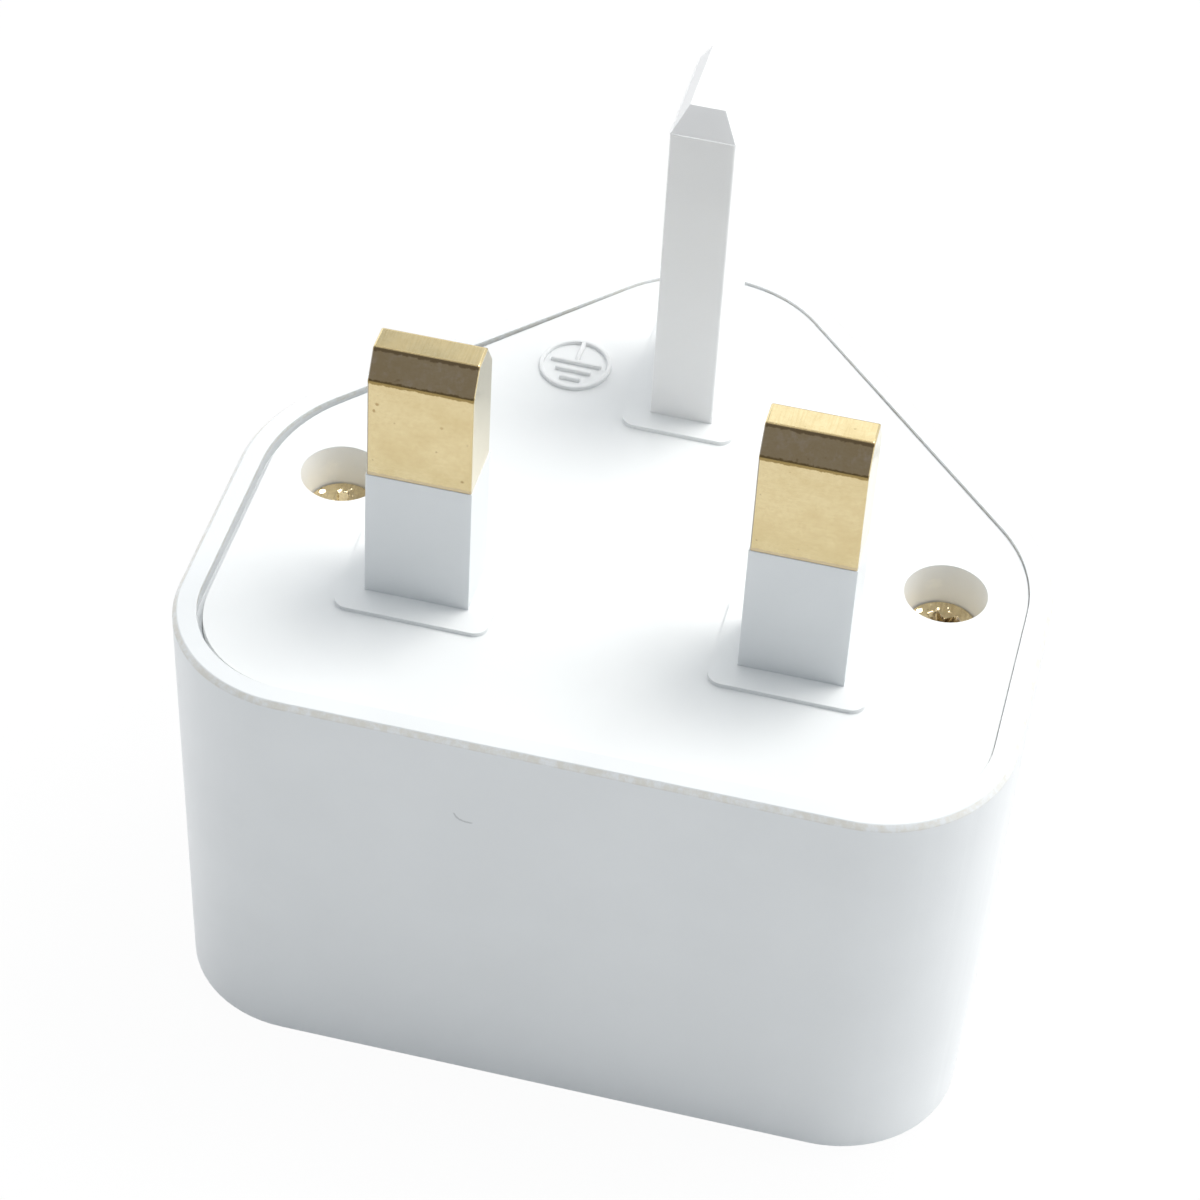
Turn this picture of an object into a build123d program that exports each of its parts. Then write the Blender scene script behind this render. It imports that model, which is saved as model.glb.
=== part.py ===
from build123d import *
import os
from math import atan, cos, degrees, radians, sqrt, tan

os.makedirs("parts", exist_ok=True)

# UK plug adapter, in millimetres. It stands on its socket face with the plug pins up:
# +Z runs along the pins, +Y from the line and neutral pins towards the earth pin, and the
# origin is the middle of the socket face.

# Plan of the pin plate, seen from the pins: straight front, round corners, rounded point
plate_width = 46.4
plate_front = 11.0
plate_point = 32.5
diagonal_slope = 47.4
front_radius = 6.7
shoulder_radius = 9.8
point_radius = 8.1

# Heights
body_height = 28.55
rim_height = 0.2
plate_thickness = 2.2
floor_thickness = 2.2

# Shell walls, and the shallow groove between the rim and the plate's face
plate_fit = 0.03
groove_width = 0.15
groove_depth = 0.4
rim_wall = 1.4
ledge_width = 0.7
draft = 1.4
rim_bevel = 0.3
face_bevel = 0.15

# Plug pins
pin_spacing = 22.2
earth_distance = 22.23
pin_width = 6.15
pin_thickness = 3.95
pin_reach = 17.65
bevel_height = 1.65
bevel_inset = 1.12
pin_edge_round = 0.15
sleeve_reach = 9.15
sleeve_wall = 0.5
sleeve_proud = 0.05
flange_margin = 1.2
flange_thickness = 1.6
rivet_radius = 1.5
rivet_head_radius = 2.1
rivet_head_height = 0.7

# Earth pin, all plastic
earth_width = 3.9
earth_depth = 7.95
earth_reach = 23.0
earth_taper_height = 1.7
earth_taper_inset = 0.9
earth_flange_thickness = 2.0
earth_edge_round = 0.15

# Pin plate details
pad_side_margin = 1.55
power_pad_margin = 1.85
earth_pad_margin = 1.5
pad_height = 0.38
pad_corner = 0.9
plate_bevel = 0.1
pin_fit = 0.05
lip_gap = 0.3
lip_wall = 1.0
lip_depth = 1.5
lip_front_length = 30.0
lip_side_length = 8.0

# Screws and the wells that they sit in
screw_from_edge = 4.75
screw_from_pin_line = 7.65
well_radius = 2.4
well_depth = 4.0
well_wall = 1.0
well_floor = 1.5
screw_head_radius = 2.15
screw_head_height = 1.5
screw_head_bevel = 0.5
screw_radius = 1.1
screw_length = 12.0
screw_slack = 0.35
pilot_fit = 0.02
pilot_spare = 2.0
boss_radius = 3.3
recess_length = 2.4
recess_width = 0.6
recess_depth = 0.8

# Socket poles: a round hole for a round pin, joined to a slot for a flat blade
pole_spacing = 19.0
pole_hole_radius = 2.6
slot_from_pole = 3.15
blade_thickness = 1.5
slot_width = 2.0
slot_length = 7.2
pole_bevel = 0.4

# Sprung contacts behind the poles
strip = 0.5
grip_radius = 2.4
grip_height = 11.0
grip_lift = 0.6
grip_arm = 3.6
lip_flare = 0.5
riser_width = 5.0
foot_overhang = 3.0
guide_clearance = 0.4
guide_wall = 1.2
guide_height = 8.5

# Posts and ribs moulded in the shell
post_width = 6.8
post_wall = 0.9
rib_thickness = 1.2
post_rib_drop = 8.0
earth_post_arm = 6.0
earth_post_wall = 1.6
barrier_drop = 3.0

# Places that follow from the sizes
half_width = plate_width / 2
screw_x = half_width - screw_from_edge
pin_line_y = (plate_front - plate_point) / 2
front_y = pin_line_y - plate_front
earth_y = pin_line_y + earth_distance
point_y = pin_line_y + plate_point - point_radius + point_radius / cos(radians(diagonal_slope))
shoulder_y = point_y - half_width * tan(radians(diagonal_slope))
screw_y = pin_line_y + screw_from_pin_line

plate_face_z = body_height - rim_height
plate_back_z = plate_face_z - plate_thickness
flange_z = plate_back_z - flange_thickness
foot_z = flange_z - strip
earth_flange_z = plate_back_z - earth_flange_thickness
sleeve_top_z = plate_face_z + sleeve_reach
pin_tip_z = plate_face_z + pin_reach
earth_tip_z = plate_face_z + earth_reach
well_seat_z = plate_face_z - well_depth
boss_top_z = well_seat_z - well_floor
grip_bottom_z = floor_thickness + grip_lift
grip_top_z = grip_bottom_z + grip_height

SIDES = {"line": -1, "neutral": 1}
pin_places = [(side * pin_spacing / 2, pin_line_y) for side in SIDES.values()]
screw_places = [(-screw_x, screw_y), (screw_x, screw_y)]
sleeve_width = pin_width + 2 * sleeve_proud
sleeve_thickness = pin_thickness + 2 * sleeve_proud
neck_width = sleeve_width - 2 * sleeve_wall
neck_thickness = sleeve_thickness - 2 * sleeve_wall


def outline(grow):
    """Fill the open sketch with the plate's outline, grown on every side."""
    corners = [
        (-half_width, front_y),
        (half_width, front_y),
        (half_width, shoulder_y),
        (0, point_y),
        (-half_width, shoulder_y),
    ]
    radii = [front_radius, front_radius, shoulder_radius, point_radius, shoulder_radius]
    with BuildLine() as edge:
        FilletPolyline(*corners, radius=radii, close=True)
    make_face(edge.line.edges())
    if grow != 0:
        offset(amount=grow)


# Contact grip, in plan: two arms joined by a bend, the outer one bowed round the pin hole
pole_x = pole_spacing / 2
blade_x = pole_x - slot_from_pole
inner_arm_x = blade_x - (blade_thickness + strip) / 2
outer_arm_x = blade_x + (blade_thickness + strip) / 2
inner_lip_x = inner_arm_x - lip_flare
outer_lip_x = outer_arm_x + lip_flare
bow_radius = grip_radius + strip / 2
bow_y = sqrt(bow_radius**2 - (pole_x - outer_arm_x) ** 2)
bend_radius = (outer_arm_x - inner_arm_x) / 2
bend_y = -grip_arm + bend_radius

# Guide walls round each grip
guide_left = inner_lip_x - strip / 2 - guide_clearance
guide_right = pole_x + bow_radius + strip / 2 + guide_clearance
guide_half_length = grip_arm + lip_flare + strip / 2 + guide_clearance
guide_places = [(side * (guide_left + guide_right) / 2, 0) for side in SIDES.values()]

with BuildPart() as shell:
    with BuildSketch(Plane.XY.offset(body_height)):
        outline(groove_width + rim_wall)
    extrude(amount=-body_height, taper=draft)
    chamfer(shell.faces().sort_by(Axis.Z)[-1].edges(), rim_bevel)
    chamfer(shell.faces().sort_by(Axis.Z)[0].edges(), face_bevel)

    # Groove and pocket for the plate, then the cavity below the ledge that carries it
    with BuildSketch(Plane.XY.offset(plate_face_z - groove_depth)):
        outline(groove_width)
    extrude(amount=groove_depth + rim_height, mode=Mode.SUBTRACT)
    with BuildSketch(Plane.XY.offset(plate_back_z)):
        outline(plate_fit)
    extrude(amount=plate_thickness, mode=Mode.SUBTRACT)
    with BuildSketch(Plane.XY.offset(plate_back_z)):
        outline(-ledge_width)
    extrude(amount=floor_thickness - plate_back_z, taper=draft, mode=Mode.SUBTRACT)

    # Screw bosses, each webbed to the side wall
    with BuildSketch(Plane.XY.offset(floor_thickness)):
        for x, y in screw_places:
            side = 1 if x > 0 else -1
            with Locations((x, y)):
                Circle(boss_radius)
            with Locations(((x + side * half_width) / 2, y)):
                Rectangle(half_width - abs(x), rib_thickness)
    extrude(amount=boss_top_z - floor_thickness)
    with Locations(*[(x, y, boss_top_z) for x, y in screw_places]):
        Hole(radius=screw_radius + pilot_fit, depth=screw_length - well_floor + pilot_spare)

    # Box-shaped posts that carry the pins' push, ribbed to the front wall
    with BuildSketch(Plane.XY.offset(floor_thickness)):
        with Locations(*pin_places):
            Rectangle(post_width, post_width)
            Rectangle(post_width - 2 * post_wall, post_width - 2 * post_wall, mode=Mode.SUBTRACT)
    extrude(amount=foot_z - floor_thickness)
    rib_start_y = front_y
    rib_end_y = pin_line_y - (post_width - post_wall) / 2
    with BuildSketch(Plane.XY.offset(floor_thickness)):
        with Locations(*[(x, (rib_start_y + rib_end_y) / 2) for x, y in pin_places]):
            Rectangle(rib_thickness, rib_end_y - rib_start_y)
    extrude(amount=foot_z - post_rib_drop - floor_thickness)

    # Cross-shaped post under the earth pin, and the barrier between the poles
    with BuildSketch(Plane.XY.offset(floor_thickness)):
        with Locations((0, earth_y)):
            Rectangle(earth_post_arm, earth_post_wall)
            Rectangle(earth_post_wall, earth_post_arm)
    extrude(amount=earth_flange_z - floor_thickness)
    with BuildSketch(Plane.XY.offset(floor_thickness)):
        with Locations((0, (front_y + earth_y) / 2)):
            Rectangle(rib_thickness, earth_y - front_y)
    extrude(amount=earth_flange_z - barrier_drop - floor_thickness)

    # Guide walls that keep the contacts in line with the poles
    guide_width = guide_right - guide_left
    with BuildSketch(Plane.XY.offset(floor_thickness)):
        with Locations(*guide_places):
            Rectangle(guide_width + 2 * guide_wall, 2 * (guide_half_length + guide_wall))
            Rectangle(guide_width, 2 * guide_half_length, mode=Mode.SUBTRACT)
    extrude(amount=guide_height)

    # Pole openings through the socket face
    with BuildSketch():
        with Locations((-pole_x, 0), (pole_x, 0)):
            Circle(pole_hole_radius)
        with Locations((-blade_x, 0), (blade_x, 0)):
            Rectangle(slot_width, slot_length)
    extrude(amount=floor_thickness, mode=Mode.SUBTRACT)
    face_edges = shell.faces().sort_by(Axis.Z)[0].inner_wires().edges()
    chamfer(face_edges, pole_bevel)
shell.part.label = "shell"
export_step(shell.part, "parts/shell.step")

with BuildPart() as pin_plate:
    with BuildSketch(Plane.XY.offset(plate_back_z)):
        outline(0)
    extrude(amount=plate_thickness)
    chamfer(pin_plate.faces().sort_by(Axis.Z)[-1].edges(), plate_bevel)

    # Raised pad round each pin
    with BuildSketch(Plane.XY.offset(plate_face_z)):
        with Locations(*pin_places):
            RectangleRounded(
                pin_width + 2 * pad_side_margin, pin_thickness + 2 * power_pad_margin, pad_corner
            )
        with Locations((0, earth_y)):
            RectangleRounded(
                earth_width + 2 * pad_side_margin, earth_depth + 2 * earth_pad_margin, pad_corner
            )
    extrude(amount=pad_height)

    # Straight locating lips inside the shell's ledge, along the front and the sides
    lip_inset = ledge_width + lip_gap + lip_wall / 2
    lip_x = half_width - lip_inset
    with BuildSketch(Plane.XY.offset(plate_back_z)):
        with Locations((0, front_y + lip_inset)):
            Rectangle(lip_front_length, lip_wall)
        with Locations((-lip_x, pin_line_y), (lip_x, pin_line_y)):
            Rectangle(lip_wall, lip_side_length)
    extrude(amount=-lip_depth)

    # Screw wells
    with BuildSketch(Plane.XY.offset(plate_back_z)):
        with Locations(*screw_places):
            Circle(well_radius + well_wall)
    extrude(amount=boss_top_z - plate_back_z)
    with Locations(*[(x, y, plate_face_z) for x, y in screw_places]):
        CounterBoreHole(
            radius=screw_radius + screw_slack,
            counter_bore_radius=well_radius,
            counter_bore_depth=well_depth,
            depth=well_depth + well_floor,
        )

    # Openings for the pins
    with BuildSketch(Plane.XY.offset(plate_back_z)):
        with Locations(*pin_places):
            Rectangle(sleeve_width + 2 * pin_fit, sleeve_thickness + 2 * pin_fit)
        with Locations((0, earth_y)):
            Rectangle(earth_width + 2 * pin_fit, earth_depth + 2 * pin_fit)
    extrude(amount=plate_thickness + pad_height, mode=Mode.SUBTRACT)
pin_plate.part.label = "pin_plate"
export_step(pin_plate.part, "parts/pin_plate.step")

with BuildPart() as earth_pin:
    with BuildSketch(Plane.XY.offset(earth_flange_z)):
        with Locations((0, earth_y)):
            Rectangle(earth_width + 2 * flange_margin, earth_depth + 2 * flange_margin)
    extrude(amount=earth_flange_thickness)
    with BuildSketch(Plane.XY.offset(plate_back_z)):
        with Locations((0, earth_y)):
            Rectangle(earth_width, earth_depth)
    extrude(amount=earth_tip_z - earth_taper_height - plate_back_z)
    with BuildSketch(Plane.XY.offset(earth_tip_z - earth_taper_height)):
        with Locations((0, earth_y)):
            Rectangle(earth_width, earth_depth)
    extrude(amount=earth_taper_height, taper=degrees(atan(earth_taper_inset / earth_taper_height)))
    shaft_edges = earth_pin.edges().filter_by(Axis.Z).group_by(SortBy.LENGTH)[-1]
    fillet(shaft_edges, earth_edge_round)
earth_pin.part.label = "earth_pin"
export_step(earth_pin.part, "parts/earth_pin.step")

for name, side in SIDES.items():
    pin_x = side * pin_spacing / 2

    with BuildPart() as pin:
        # Blade with its bevelled tip, drawn from the side
        with BuildSketch(Plane.YZ.offset(pin_x)):
            with BuildLine():
                Polyline(
                    (pin_line_y - pin_thickness / 2, sleeve_top_z),
                    (pin_line_y + pin_thickness / 2, sleeve_top_z),
                    (pin_line_y + pin_thickness / 2, pin_tip_z - bevel_height),
                    (pin_line_y + pin_thickness / 2 - bevel_inset, pin_tip_z),
                    (pin_line_y - pin_thickness / 2 + bevel_inset, pin_tip_z),
                    (pin_line_y - pin_thickness / 2, pin_tip_z - bevel_height),
                    close=True,
                )
            make_face()
        extrude(amount=pin_width / 2, both=True)
        fillet(pin.faces().sort_by(Axis.Z)[-1].edges().filter_by(Axis.Y), pin_edge_round)

        # Neck inside the sleeve, and the flange behind the plate
        with BuildSketch(Plane.XY.offset(plate_back_z)):
            with Locations((pin_x, pin_line_y)):
                Rectangle(neck_width, neck_thickness)
        extrude(amount=sleeve_top_z - plate_back_z)
        with BuildSketch(Plane.XY.offset(flange_z)):
            with Locations((pin_x, pin_line_y)):
                Rectangle(pin_width + 2 * flange_margin, pin_thickness + 2 * flange_margin)
        extrude(amount=flange_thickness)

        # Tail that is riveted over the contact's foot
        with BuildSketch(Plane.XY.offset(flange_z)):
            with Locations((pin_x, pin_line_y)):
                Circle(rivet_radius)
        extrude(amount=-strip)
        with BuildSketch(Plane.XY.offset(foot_z)):
            with Locations((pin_x, pin_line_y)):
                Circle(rivet_head_radius)
        extrude(amount=-rivet_head_height)
    pin.part.label = name + "_pin"
    export_step(pin.part, "parts/" + name + "_pin.step")

    with BuildPart() as sleeve:
        with BuildSketch(Plane.XY.offset(plate_back_z)):
            with Locations((pin_x, pin_line_y)):
                Rectangle(sleeve_width, sleeve_thickness)
                Rectangle(neck_width, neck_thickness, mode=Mode.SUBTRACT)
        extrude(amount=sleeve_top_z - plate_back_z)
    sleeve.part.label = name + "_sleeve"
    export_step(sleeve.part, "parts/" + name + "_sleeve.step")

    with BuildPart() as contact:
        # Grip, bent from strip round the flat blade and the round pin
        with BuildSketch(Plane.XY.offset(grip_bottom_z)):
            with BuildLine():
                Line((side * inner_lip_x, grip_arm + lip_flare), (side * inner_arm_x, grip_arm))
                Line((side * inner_arm_x, grip_arm), (side * inner_arm_x, bend_y))
                ThreePointArc(
                    (side * inner_arm_x, bend_y),
                    (side * (inner_arm_x + bend_radius), bend_y - bend_radius),
                    (side * outer_arm_x, bend_y),
                )
                Line((side * outer_arm_x, bend_y), (side * outer_arm_x, -bow_y))
                ThreePointArc(
                    (side * outer_arm_x, -bow_y),
                    (side * (pole_x + bow_radius), 0),
                    (side * outer_arm_x, bow_y),
                )
                Line((side * outer_arm_x, bow_y), (side * outer_arm_x, grip_arm))
                Line((side * outer_arm_x, grip_arm), (side * outer_lip_x, grip_arm + lip_flare))
                offset(amount=strip / 2)
            make_face()
        extrude(amount=grip_height)

        # Riser, slanting across to the pin, and the foot folded over under its flange
        with BuildSketch(Plane.YZ.offset(side * inner_arm_x)):
            with BuildLine():
                Polyline(
                    (bend_y, grip_top_z),
                    (bend_y + riser_width, grip_top_z),
                    (pin_line_y + riser_width / 2, flange_z),
                    (pin_line_y - riser_width / 2, flange_z),
                    close=True,
                )
            make_face()
        extrude(amount=strip / 2, both=True)
        foot_start = inner_arm_x - strip / 2
        foot_end = pin_spacing / 2 + foot_overhang
        with BuildSketch(Plane.XY.offset(foot_z)):
            with Locations((side * (foot_start + foot_end) / 2, pin_line_y)):
                Rectangle(foot_end - foot_start, riser_width)
            with Locations((pin_x, pin_line_y)):
                Circle(rivet_radius, mode=Mode.SUBTRACT)
        extrude(amount=strip)
    contact.part.label = name + "_contact"
    export_step(contact.part, "parts/" + name + "_contact.step")

for name, (x, y) in zip(("left_screw", "right_screw"), screw_places):
    with BuildPart() as screw:
        with Locations((x, y, well_seat_z)):
            Cylinder(screw_head_radius, screw_head_height, align=(Align.CENTER, Align.CENTER, Align.MIN))
        chamfer(screw.faces().sort_by(Axis.Z)[-1].edges(), screw_head_bevel)
        with BuildSketch(Plane.XY.offset(well_seat_z + screw_head_height)):
            with Locations((x, y)):
                Rectangle(recess_length, recess_width)
                Rectangle(recess_width, recess_length)
        extrude(amount=-recess_depth, mode=Mode.SUBTRACT)
        with Locations((x, y, well_seat_z)):
            Cylinder(screw_radius, screw_length, align=(Align.CENTER, Align.CENTER, Align.MAX))
    screw.part.label = name
    export_step(screw.part, "parts/" + name + ".step")
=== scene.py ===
"""Looks of the plug adapter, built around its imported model. Sizes are in millimetres."""

from __future__ import annotations

import logging
import math
import random
from abc import ABC, abstractmethod
from dataclasses import dataclass, replace
from enum import Enum
from functools import cached_property
from typing import Any, Iterable, Sequence

import bmesh
import bpy
from mathutils import Matrix, Vector, geometry


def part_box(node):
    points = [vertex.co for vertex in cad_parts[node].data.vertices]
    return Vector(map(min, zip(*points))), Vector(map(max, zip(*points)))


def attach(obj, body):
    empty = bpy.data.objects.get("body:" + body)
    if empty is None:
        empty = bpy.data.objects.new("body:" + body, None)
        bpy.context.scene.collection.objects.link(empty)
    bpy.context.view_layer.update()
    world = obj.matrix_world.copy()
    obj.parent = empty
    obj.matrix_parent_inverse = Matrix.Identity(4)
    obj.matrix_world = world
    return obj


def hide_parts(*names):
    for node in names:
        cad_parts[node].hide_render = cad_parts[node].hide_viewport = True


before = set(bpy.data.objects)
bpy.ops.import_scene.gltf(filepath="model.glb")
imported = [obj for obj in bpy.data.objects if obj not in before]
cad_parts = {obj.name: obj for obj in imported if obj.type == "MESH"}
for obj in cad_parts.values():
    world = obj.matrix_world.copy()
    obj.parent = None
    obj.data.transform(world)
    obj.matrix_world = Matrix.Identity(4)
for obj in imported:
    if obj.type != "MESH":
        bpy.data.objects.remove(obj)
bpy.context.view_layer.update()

MM = 0.001
ROOT = "root"
EARTH_SECTION = (3.9, 7.95)
SAME_HEIGHT = 0.02
LOG = logging.getLogger("plug_adapter")

Pair = tuple[float, float]
Triple = tuple[float, float, float]
Spot = tuple[float, float, float, float]
Node = bpy.types.Node
Socket = bpy.types.NodeSocket
Piece = bpy.types.Object


class Slot(str, Enum):
    """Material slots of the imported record."""

    BODY = "body_plastic"
    PIN_PLASTIC = "pin_plastic"
    PIN_BRASS = "pin_brass"
    CONTACT = "contact_bronze"
    SCREW = "screw_brass"


class Pole(str, Enum):
    """The two poles, by the word that their nodes start with."""

    LINE = "line"
    NEUTRAL = "neutral"


def mm(*values: float) -> Vector:
    """A point or size given in millimetres, in metres."""
    return Vector([value * MM for value in values])


def corners(node: str) -> tuple[Vector, Vector]:
    """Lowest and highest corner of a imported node, in millimetres."""
    low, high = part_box(node)
    return Vector(low) / MM, Vector(high) / MM


def direction(azimuth: float, elevation: float) -> Vector:
    """Direction from the adapter, by its angles in degrees. The front is at azimuth 0."""
    az, el = math.radians(azimuth), math.radians(elevation)
    return Vector((math.sin(az) * math.cos(el), -math.cos(az) * math.cos(el), math.sin(el)))


def eased(value: float, low: float, high: float) -> float:
    """Share of the way from low to high, easing in and out."""
    share = min(1.0, max(0.0, (value - low) / (high - low)))
    return share * share * (3 - 2 * share)


@dataclass(frozen=True)
class Places:
    """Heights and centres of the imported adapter."""

    rim_z: float
    plate_z: float
    sleeve_z: float
    pin_z: float
    bevel_z: float
    earth_z: float
    front_y: float
    wells: tuple[Pair, ...]

    @classmethod
    def read(cls, rim_height: float = 0.2, bevel_height: float = 1.65) -> Places:
        """Read the places from the frame.

        Args:
            rim_height: How far the rim stands above the plate's face.
            bevel_height: Height of the bevel at a brass pin's tip.

        Returns:
            The places.
        """
        shell_low, shell_high = corners("shell")
        pin_z = corners("line_pin")[1].z
        screws = [corners(node) for node in ("left_screw", "right_screw")]
        return cls(
            rim_z=shell_high.z,
            plate_z=shell_high.z - rim_height,
            sleeve_z=corners("line_sleeve")[1].z,
            pin_z=pin_z,
            bevel_z=pin_z - bevel_height,
            earth_z=corners("earth_pin")[1].z,
            front_y=shell_low.y,
            wells=tuple(((low.x + high.x) / 2, (low.y + high.y) / 2) for low, high in screws),
        )


# Node sheets


@dataclass(frozen=True)
class Cloud:
    """Noise, in cells a metre, and the values from which a pattern of it starts and is full."""

    scale: float
    detail: float = 2.0
    rough: float = 0.5
    start: float = 0.0
    full: float = 1.0
    amount: float = 1.0
    stretch: Triple | None = None


class Sheet:
    """A node tree with short calls to add nodes, set their sockets and link them."""

    def __init__(self, tree: bpy.types.NodeTree) -> None:
        """Start on an emptied tree.

        Args:
            tree: The tree that nodes are added to.
        """
        self.tree = tree
        tree.nodes.clear()

    def add(self, kind: str, inputs: dict[Any, Any] | None = None, **props: Any) -> Node:
        """Add one node.

        Args:
            kind: The node's type name.
            inputs: Socket name or number, and a value or the output socket to link.
            props: Properties of the node itself.

        Returns:
            The new node.
        """
        node = self.tree.nodes.new(kind)
        for name, value in props.items():
            setattr(node, name, value)
        for key, value in (inputs or {}).items():
            if isinstance(value, Socket):
                self.tree.links.new(value, node.inputs[key])
            else:
                node.inputs[key].default_value = value
        return node

    def math(self, operation: str, *values: Any, clamp: bool = False) -> Socket:
        """Add a Math node on numbers or sockets, and return its result."""
        props = {"operation": operation, "use_clamp": clamp}
        return self.add("ShaderNodeMath", dict(enumerate(values)), **props).outputs[0]

    def times(self, first: Any, *others: Any) -> Socket:
        """Multiply numbers or sockets, in order.

        Args:
            first: The first factor.
            others: The other factors.

        Returns:
            The product.
        """
        for other in others:
            first = self.math("MULTIPLY", first, other)
        return first

    def plus(self, first: Any, second: Any) -> Socket:
        """Sum of two numbers or sockets."""
        return self.math("ADD", first, second)

    def minus(self, first: Any, second: Any) -> Socket:
        """First number or socket less the second."""
        return self.math("SUBTRACT", first, second)

    def most(self, first: Any, second: Any) -> Socket:
        """Larger of two numbers or sockets."""
        return self.math("MAXIMUM", first, second)

    def length(self, across: Any, along: Any) -> Socket:
        """Length of a distance given along two axes."""
        return self.math("SQRT", self.plus(self.times(across, across), self.times(along, along)))

    def ramp(self, value: Any, low: float, high: float) -> Socket:
        """Turn a value into a share that eases from 0 at low to 1 at high."""
        inputs = {"Value": value, "From Min": low, "From Max": high}
        return self.add("ShaderNodeMapRange", inputs, interpolation_type="SMOOTHSTEP").outputs[0]

    def band(self, value: Any, rise: Pair, fall: Pair) -> Socket:
        """Share that rises between the first two values and falls between the last two."""
        return self.times(self.ramp(value, *rise), self.ramp(value, *reversed(fall)))

    def spread(self, share: Any, low: float, high: float) -> Socket:
        """Turn a share into a value from low to high."""
        return self.add("ShaderNodeMapRange", {0: share, "To Min": low, "To Max": high}).outputs[0]

    def mix(self, share: Any, first: Any, second: Any) -> Socket:
        """Mix two colours.

        Args:
            share: Share of the second colour.
            first: Colour or socket.
            second: Colour or socket.

        Returns:
            The mixed colour.
        """
        pair = [value if isinstance(value, Socket) else (*value, 1) for value in (first, second)]
        inputs = {0: share, 6: pair[0], 7: pair[1]}
        return self.add("ShaderNodeMix", inputs, data_type="RGBA").outputs[2]

    def vector(self, x: Any = 0.0, y: Any = 0.0, z: Any = 0.0) -> Socket:
        """Vector of three numbers or sockets."""
        return self.add("ShaderNodeCombineXYZ", {0: x, 1: y, 2: z}).outputs[0]


class Surface(Sheet):
    """A material's sheet, with its colour so far, the places on it and how its faces look."""

    def __init__(self, tree: bpy.types.NodeTree, colour: Triple) -> None:
        """Start with an even colour.

        Args:
            tree: The material's tree.
            colour: The colour.
        """
        super().__init__(tree)
        self.colour: Any = colour

    @cached_property
    def place(self) -> Socket:
        """The object's own coordinates."""
        return self.add("ShaderNodeTexCoord").outputs["Object"]

    @cached_property
    def axes(self) -> Sequence[Socket]:
        """The place along X, Y and Z."""
        return self.add("ShaderNodeSeparateXYZ", {0: self.place}).outputs

    @cached_property
    def facing(self) -> Sequence[Socket]:
        """The surface's normal along X, Y and Z."""
        normal = self.add("ShaderNodeNewGeometry").outputs["Normal"]
        return self.add("ShaderNodeSeparateXYZ", {0: normal}).outputs

    def noise(self, cloud: Cloud) -> Socket:
        """Add a cloud's plain noise.

        Args:
            cloud: The cloud.

        Returns:
            The noise.
        """
        place = self.place
        if cloud.stretch is not None:
            place = self.add("ShaderNodeMapping", {0: place, "Scale": cloud.stretch}).outputs[0]
        shape = {"Scale": cloud.scale, "Detail": cloud.detail, "Roughness": cloud.rough}
        return self.add("ShaderNodeTexNoise", {"Vector": place, **shape}).outputs[0]

    def pattern(self, cloud: Cloud) -> Socket:
        """A cloud's noise, turned into a share."""
        return self.ramp(self.noise(cloud), cloud.start, cloud.full)

    def wander(self, cloud: Cloud, size: float) -> Socket:
        """Uneven shift that makes an edge ragged."""
        return self.times(self.minus(self.noise(cloud), 0.5), size * MM)

    def turned(self, axis: int, rise: Pair) -> Socket:
        """Share of the faces that look along an axis, either way."""
        return self.ramp(self.math("ABSOLUTE", self.facing[axis]), *rise)

    def tint(self, other: Triple, *shares: Any) -> None:
        """Mix another colour in, by the product of the shares."""
        self.colour = self.mix(self.times(*shares), self.colour, other)

    def spots(self, share: Any, spots: Sequence[Spot], ragged: Socket, look: Pair) -> Socket:
        """Add round spots to a share.

        Args:
            share: The share so far.
            spots: Middle and radius of each spot.
            ragged: Shift of the spots' edges.
            look: Share of the radius that is even, and the spots' strength.

        Returns:
            The share with the spots.
        """
        core, strength = look
        for x, y, z, radius in spots:
            ends = {0: self.place, 1: mm(x, y, z)}
            away = self.add("ShaderNodeVectorMath", ends, operation="DISTANCE").outputs["Value"]
            spot = self.ramp(self.plus(away, ragged), radius * MM, radius * core * MM)
            share = self.most(share, self.times(spot, strength))
        return share

    def coat(self, rough: Socket, height: Socket, bump: Pair, values: dict[str, Any]) -> None:
        """Add the shader and the output.

        Args:
            rough: Roughness.
            height: Height of the bumps.
            bump: Strength and depth of the bumps.
            values: The shader's other inputs.
        """
        ins = {"Strength": bump[0], "Distance": bump[1] * MM, "Height": height}
        normal = self.add("ShaderNodeBump", ins).outputs[0]
        links = {"Base Color": self.colour, "Roughness": rough, "Normal": normal}
        shader = self.add("ShaderNodeBsdfPrincipled", {**links, **values})
        self.add("ShaderNodeOutputMaterial", {"Surface": shader.outputs[0]})


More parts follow.
